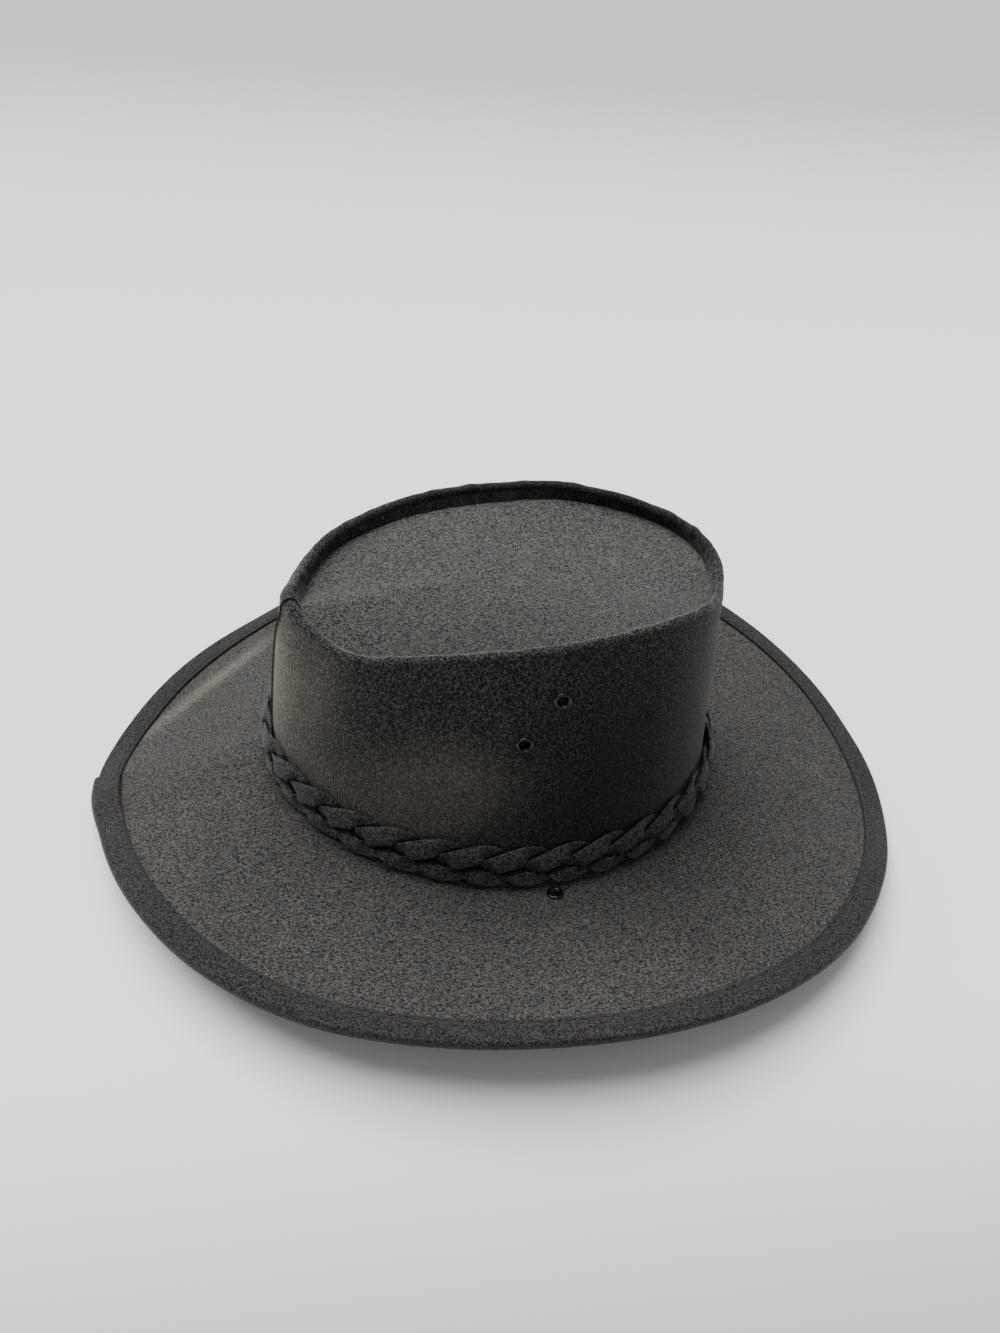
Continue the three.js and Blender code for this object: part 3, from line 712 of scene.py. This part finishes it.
def suede(name, tone, fibreScale, fibreTurn, marks, look=suedeLook):
    paint = Paint(name)
    grain = paint.noise(look["grain"], 3, 0.8)
    clumps = paint.noise(look["clumps"], 2, 0.6)
    fibres = paint.noise(1, 2, 0.55, paint.stretched(fibreScale, fibreTurn))
    grainShare, clumpShare, fibreShare = look["napShares"]
    nap = grain * grainShare + clumps * clumpShare + fibres * fibreShare
    speck = paint.remap(nap, look["from"], look["to"])
    hue = paint.remap(paint.noise(look["hue"], 2, 0.6), *look["hueRange"])
    tint = look["tint"]
    warm, cool = (1 + tint, 1, 1 - tint), (1 - tint * 0.7, 1, 1 + tint * 0.5)
    mottle = paint.noise(look["mottle"], 4, 0.6)
    blotch = paint.noise(look["blotch"], 3, 0.5)
    steady = 1 - look["mottling"] / 2 - look["blotching"] / 2
    broad = steady + mottle * look["mottling"] + blotch * look["blotching"]

    def toned(part):  # the leather's tone, warm in some places and cool in others
        return paint.mix([t * w * part for t, w in zip(tone, warm)],
                         [t * c * part for t, c in zip(tone, cool)], hue)

    shade = paint.mix(toned(look["deep"]), toned(look["pale"]), speck)
    shade = marks(paint, paint.scale(shade, broad), speck, mottle)
    roughness = paint.remap(mottle, 0.3, 0.7, 0.86, 0.98)
    return paint.finish(shade, roughness, nap, Sheen_Weight=look["sheen"],
                        Sheen_Roughness=look["sheenRoughness"], Specular_IOR_Level=look["specular"])


# paler and darker tones under masks: real patches and scuffs, and wear with painted highlights on the
# rim and the brim's crease
wearAndHighlightTones = {  # tone, and how much of it shows
    "patched": ((0.078, 0.0695, 0.0545), 1.0), "scuffed": ((0.132, 0.116, 0.087), 1.0),
    "rimWearAndHighlight": ((0.11, 0.105, 0.096), 0.85), "creaseHighlightAndWear": ((0.1, 0.086, 0.073), 1.0),
}
# how far painted shade darkens under each mask, and how far painted light brightens the band's lower
# row
markDepths = {"paintedShade": 0.74, "dimmed": 0.28, "low": 0.9, "strandShadow": 0.97, "edged": 0.85}
seamShadowTone = (0.002, 0.002, 0.002)


def wearAndHighlightBy(paint, shade, name, breakUp, speck):  # a paler or darker tone under a mask, kept grainy
    tone, amount = wearAndHighlightTones[name]
    mask = paint.mask(name) * breakUp
    grainy = paint.mix([t * 0.5 for t in tone], [t * 1.7 for t in tone], speck)
    return paint.mix(shade, grainy, paint.remap(mask * amount, 0.0, 1.0))


def darkenedBy(paint, name):  # what a mask leaves of the light
    return 1 - paint.mask(name) * markDepths[name]


def crownMarksOn(paint, shade, speck, mottle):
    breakUp = mottle * 0.9 + 0.55
    shade = paint.scale(shade, darkenedBy(paint, "paintedShade"))
    for name in ("patched", "scuffed", "rimWearAndHighlight"):
        shade = wearAndHighlightBy(paint, shade, name, breakUp, speck)
    return paint.mix(shade, seamShadowTone, paint.mask("seam"))


def tipMarksOn(paint, shade, speck, mottle):
    return paint.scale(shade, darkenedBy(paint, "dimmed"))


def brimMarksOn(paint, shade, speck, mottle):
    return wearAndHighlightBy(paint, shade, "creaseHighlightAndWear", mottle * 0.8 + 0.5, speck)


def bindingMarksOn(paint, shade, speck, mottle):
    return paint.scale(shade, darkenedBy(paint, "edged"))


def bandMarksOn(paint, shade, speck, mottle):
    # painted light on the band's lower row, and painted shadow of the strips over each other
    paler = 1 + paint.mask("low") * markDepths["low"]
    return paint.scale(shade, paler * darkenedBy(paint, "strandShadow"))


metalLook = {
    "chips": 900, "chipped": (0.6, 0.72), "dents": 1500, "depth": 0.0001, "strength": 0.3,
    "dark": (0.0025, 0.0025, 0.003), "light": (0.03, 0.028, 0.026), "metallic": 0.05,
}


def blackMetal(name):
    paint = Paint(name)
    chips = paint.remap(paint.noise(metalLook["chips"], 3, 0.6), *metalLook["chipped"])
    shade = paint.mix(metalLook["dark"], metalLook["light"], chips)
    return paint.finish(shade, chips * 0.2 + 0.17, paint.noise(metalLook["dents"], 2),
                        metalLook["depth"], metalLook["strength"], Metallic=metalLook["metallic"])


threadLook = {"strands": 2600, "dark": 0.6, "light": 1.5, "depth": 0.0001, "strength": 0.5}


def thread(name, tone):
    paint = Paint(name)
    strands = paint.noise(threadLook["strands"], 2, 0.6)
    dark, light = ([t * threadLook[part] for t in tone] for part in ("dark", "light"))
    shade = paint.mix(dark, light, strands)
    return paint.finish(shade, strands * 0.2 + 0.65, strands,
                        threadLook["depth"], threadLook["strength"])


# Each suede's tone, the stretch and the turn of its fibres in degrees, and its marks
crownSuede = suede("crownSuede", (0.0158, 0.0152, 0.0152), (1500, 1500, 800), (0, 0, 0),
                   crownMarksOn, wallLook)
tipSuede = suede("tipSuede", (0.038, 0.0373, 0.0345), (750, 1900, 1500), (0, 0, 12), tipMarksOn)
brimSuede = suede("brimSuede", (0.0285, 0.0262, 0.0245), (800, 1700, 1500), (0, 0, -8), brimMarksOn)
bindingSuede = suede("bindingSuede", (0.0155, 0.0141, 0.0134), (1200, 1200, 1200), (0, 0, 0),
                     bindingMarksOn)
bandSuede = suede("bandSuede", (0.0225, 0.0214, 0.0211), (900, 900, 900), (0, 0, 0), bandMarksOn)
threadBlack = thread("threadBlack", (0.02, 0.02, 0.021))
eyeletBlack = blackMetal("eyeletBlack")
finishes = [(crownSide, crownSuede), (crownTip, tipSuede), (brimSheet, brimSuede),
            (brimBinding, bindingSuede)]
for piece, material in finishes + [(strand, bandSuede) for strand in strands]:
    piece.data.materials.clear()
    piece.data.materials.append(material)
print("suede painted")


# Geometry Nodes: stitches along a line, and eyelets
class Maker:  # one node tree that makes geometry from named sizes
    def __init__(self, name, sizes):
        self.tree = bpy.data.node_groups.new(name, "GeometryNodeTree")
        face = self.tree.interface
        face.new_socket("Geometry", in_out="INPUT", socket_type="NodeSocketGeometry")
        self.keys = {}
        for label, kind in sizes.items():
            made = face.new_socket(label, in_out="INPUT", socket_type=kind)
            self.keys[label] = made.identifier
        face.new_socket("Geometry", in_out="OUTPUT", socket_type="NodeSocketGeometry")
        self.given = self.tree.nodes.new("NodeGroupInput")
        self.result = self.tree.nodes.new("NodeGroupOutput")

    def size(self, label):
        return self.given.outputs[label]

    def node(self, kind, settings=None, sockets=None):
        made = self.tree.nodes.new(kind)
        for key, value in (settings or {}).items():
            setattr(made, key, value)
        for key, value in (sockets or {}).items():
            for one in value if isinstance(value, list) else [value]:
                if isinstance(one, bpy.types.NodeSocket):
                    self.tree.links.new(one, made.inputs[key])
                else:
                    made.inputs[key].default_value = one
        return made

    def part(self, kind, sockets=None, settings=None):  # a node's first output
        return self.node(kind, settings, sockets).outputs[0]

    def sums(self, operation, first, second):
        return self.part("ShaderNodeMath", {0: first, 1: second}, {"operation": operation})

    def close(self, geometry):
        real = self.part("GeometryNodeRealizeInstances", {"Geometry": geometry})
        painted = self.part("GeometryNodeSetMaterial", {
            "Geometry": real, "Material": self.size("Material")})
        self.tree.links.new(painted, self.result.inputs[0])

    def make(self, name, base, values):  # a plain mesh object from a base mesh and the named sizes
        holder = bpy.data.objects.new(name + "Base", base)
        bpy.context.scene.collection.objects.link(holder)
        modifier = holder.modifiers.new("maker", "NODES")
        modifier.node_group = self.tree
        for label, value in values.items():
            modifier[self.keys[label]] = value
        holder.update_tag()
        plainMesh = bpy.data.meshes.new_from_object(
            holder.evaluated_get(bpy.context.evaluated_depsgraph_get()))
        holder.modifiers.clear()
        bpy.data.objects.remove(holder)
        piece = bpy.data.objects.new(name, plainMesh)
        bpy.context.scene.collection.objects.link(piece)
        plainMesh.shade_smooth()
        return piece


def lineMesh(name, loops):  # closed lines through points, in millimetres
    points, edges = [], []
    for loop in loops:
        first = len(points)
        points += (loop * mm + hatMiddle).tolist()
        edges += [(first + i, first + (i + 1) % len(loop)) for i in range(len(loop))]
    mesh = bpy.data.meshes.new(name)
    mesh.from_pydata(points, edges, [])
    return mesh


stitch = {"pitch": 3.4, "length": 2.5, "thickness": 0.5, "sink": 0.12, "sides": 8, "rings": 5}

stitcher = Maker("stitchRow", {"Pitch": "NodeSocketFloat", "Length": "NodeSocketFloat",
                               "Thickness": "NodeSocketFloat", "Material": "NodeSocketMaterial"})
path = stitcher.part("GeometryNodeMeshToCurve", {"Mesh": stitcher.size("Geometry")})
spaced = stitcher.part("GeometryNodeResampleCurve", {"Curve": path, "Length": stitcher.size("Pitch")},
                       {"mode": "LENGTH"})
grain = stitcher.part("GeometryNodeMeshUVSphere", {
    "Segments": stitch["sides"], "Rings": stitch["rings"], "Radius": 0.5})
thick = stitcher.part("ShaderNodeCombineXYZ", {
    0: stitcher.size("Thickness"), 1: stitcher.size("Thickness"), 2: stitcher.size("Length")})
shaped = stitcher.part("GeometryNodeTransform", {"Geometry": grain, "Scale": thick})
tangent = stitcher.part("GeometryNodeInputTangent")
turned = stitcher.part("FunctionNodeAlignRotationToVector", {"Vector": tangent}, {"axis": "Z"})
laid = stitcher.part("GeometryNodeInstanceOnPoints", {
    "Points": spaced, "Instance": shaped, "Rotation": turned})
stitcher.close(laid)


def stitchLines():  # along the groove on top of the binding and below it, over the lap too
    angles = np.arange(0, 360, 0.5)
    out = brimReach(angles) - binding["width"] + binding["stitchIn"]
    skin = binding["gap"] + binding["leather"]
    near = np.abs(angles - (binding["joinAngle"] + lapEndAngle) / 2)
    lapFoot = edgeAngle(binding["lap"] / 2 + binding["ramp"])
    lapped = np.clip((lapFoot - near) / edgeAngle(binding["ramp"]), 0, 1)
    rise = skin + lapSpread * lapped - binding["grooveDepth"] * 0.5
    top = brimTop(angles, out) + upWay * rise[:, None]
    under = brimUnderside(angles, out) - upWay * (skin + lapSpread * lapped - stitch["sink"])[:, None]
    return [top, under]


bindingStitches = stitcher.make("bindingStitches", lineMesh("stitchPath", stitchLines()), {
    "Pitch": stitch["pitch"] * mm, "Length": stitch["length"] * mm,
    "Thickness": stitch["thickness"] * mm, "Material": threadBlack})
settle(bindingStitches, "root", "binding_suede")
print("stitches laid")

ringMaker = Maker("eyeletRing", {
    "Hole": "NodeSocketFloat", "Barrel": "NodeSocketFloat", "Flange": "NodeSocketFloat",
    "Dome": "NodeSocketFloat", "Depth": "NodeSocketFloat", "Place": "NodeSocketVector",
    "Turn": "NodeSocketVector", "Material": "NodeSocketMaterial"})
hole, barrel, flange, dome, depth = (ringMaker.size(label) for label in
                                     ("Hole", "Barrel", "Flange", "Dome", "Depth"))


def sweptRing(outer, section):  # a section swept round midway between the hole and an outer radius
    middle = ringMaker.sums("MULTIPLY", ringMaker.sums("ADD", outer, hole), 0.5)
    loop = ringMaker.part("GeometryNodeCurvePrimitiveCircle", {
        "Resolution": eyelet["ringSides"], "Radius": middle})
    return ringMaker.part("GeometryNodeCurveToMesh", {"Curve": loop, "Profile Curve": section})


def moved(geometry, height, flatness=1.0):
    lift = ringMaker.part("ShaderNodeCombineXYZ", {2: height})
    return ringMaker.part("GeometryNodeTransform", {
        "Geometry": geometry, "Scale": (1, 1, flatness), "Translation": lift})


def rolledRing(flatness, height):  # a flattened ring between the hole and the flange's edge
    wide = ringMaker.sums("SUBTRACT", flange, hole)
    section = ringMaker.part("GeometryNodeCurvePrimitiveCircle", {
        "Resolution": eyelet["rollSides"], "Radius": ringMaker.sums("MULTIPLY", wide, 0.5)})
    return moved(sweptRing(flange, section), height, flatness)


outerRing = rolledRing(eyelet["outerFlatness"], ringMaker.sums("MULTIPLY", dome, eyelet["ringLift"]))
innerRing = rolledRing(eyelet["innerFlatness"], ringMaker.sums("MULTIPLY", depth, -1))
tubeSection = ringMaker.part("GeometryNodeCurvePrimitiveQuadrilateral", {
    "Width": ringMaker.sums("SUBTRACT", barrel, hole), "Height": depth})
tube = moved(sweptRing(barrel, tubeSection), ringMaker.sums("MULTIPLY", depth, -eyelet["tubeSink"]))
joined = ringMaker.part("GeometryNodeJoinGeometry", {"Geometry": [outerRing, innerRing, tube]})
placed = ringMaker.part("GeometryNodeTransform", {
    "Geometry": joined, "Translation": ringMaker.size("Place"), "Rotation": ringMaker.size("Turn")})
ringMaker.close(placed)

for name, at, axis in ventPlaces + cordPlaces:
    leather = brim["leather"] if "cord" in name else crown["leather"]
    face = at + axis * binding["gap"]
    words = name.split("_")
    pieceName = words[0] + "".join(word.capitalize() for word in words[1:])
    ring = ringMaker.make(pieceName, bpy.data.meshes.new("blank"), {
        "Hole": eyelet["hole"] * mm, "Barrel": eyelet["barrel"] * mm, "Flange": eyelet["flange"] * mm,
        "Dome": eyelet["dome"] * mm, "Depth": (leather + 2 * binding["gap"]) * mm,
        "Place": tuple(face * mm + hatMiddle), "Turn": tuple(turnTo(axis).to_euler()),
        "Material": eyeletBlack})
    settle(ring, "root", "black_metal", name)
print("eyelets set")

# Floor, light and camera
studio = {  # the floor dims far behind the hat and close in front of it, in metres
    "floorRadius": 9.0, "floorSides": 96,
    "floorTone": (0.95, 0.94, 0.92), "floorDim": (0.5, 0.485, 0.46),
    "dimBehind": (0.35, 2.4), "dimBefore": (-0.13, -0.29),
    "sun": 5.5, "sunSpread": 60, "sunTurn": (-21, -16, 0), "sky": 0.43,
}
bpy.ops.mesh.primitive_circle_add(
    vertices=studio["floorSides"], radius=studio["floorRadius"], fill_type="NGON")
floor = bpy.context.object
floor.name = "studioFloor"
backdrop = Paint("studioFloor")
across = backdrop.node("ShaderNodeSeparateXYZ", None, {0: backdrop.place}, out="Y")
# painted shade: the floor's colour darker far behind the hat and close in front of it, as the light
# falls off
dimmed = backdrop.remap(across, *studio["dimBehind"]) + backdrop.remap(across, *studio["dimBefore"])
floorFalloff = backdrop.mix(studio["floorTone"], studio["floorDim"], dimmed)
floor.data.materials.append(backdrop.finish(floorFalloff, 0.85, Specular_IOR_Level=0.2))

world = bpy.data.worlds.new("studioLight")
bpy.context.scene.world = world
world.use_nodes = True
world.node_tree.nodes["Background"].inputs["Color"].default_value = (1, 1, 1, 1)
world.node_tree.nodes["Background"].inputs["Strength"].default_value = studio["sky"]
sunLight = bpy.data.lights.new("softSun", "SUN")
sunLight.energy = studio["sun"]
sunLight.angle = math.radians(studio["sunSpread"])
sun = bpy.data.objects.new("softSun", sunLight)
bpy.context.scene.collection.objects.link(sun)
sun.rotation_euler = [math.radians(turn) for turn in studio["sunTurn"]]

view = {  # the photograph's camera, from the hat's middle
    "place": (-0.067934, -0.355094, 0.348434),
    "right": (0.988419, -0.131934, 0.074979),
    "up": (0.023426, 0.620824, 0.783600),
    "forward": (0.149932, 0.772768, -0.616725),
    "lens": 27.034, "sensor": 36.0, "nearest": 0.01,
}
lensData = bpy.data.cameras.new("photoView")
lensData.lens, lensData.sensor_width, lensData.sensor_fit = view["lens"], view["sensor"], "AUTO"
lensData.clip_start = view["nearest"]
camera = bpy.data.objects.new("photoView", lensData)
bpy.context.scene.collection.objects.link(camera)
turned = Matrix((view["right"], view["up"], [-v for v in view["forward"]])).transposed()
camera.matrix_world = Matrix.Translation(Vector(view["place"]) + Vector(hatMiddle)) @ turned.to_4x4()
bpy.context.scene.camera = camera
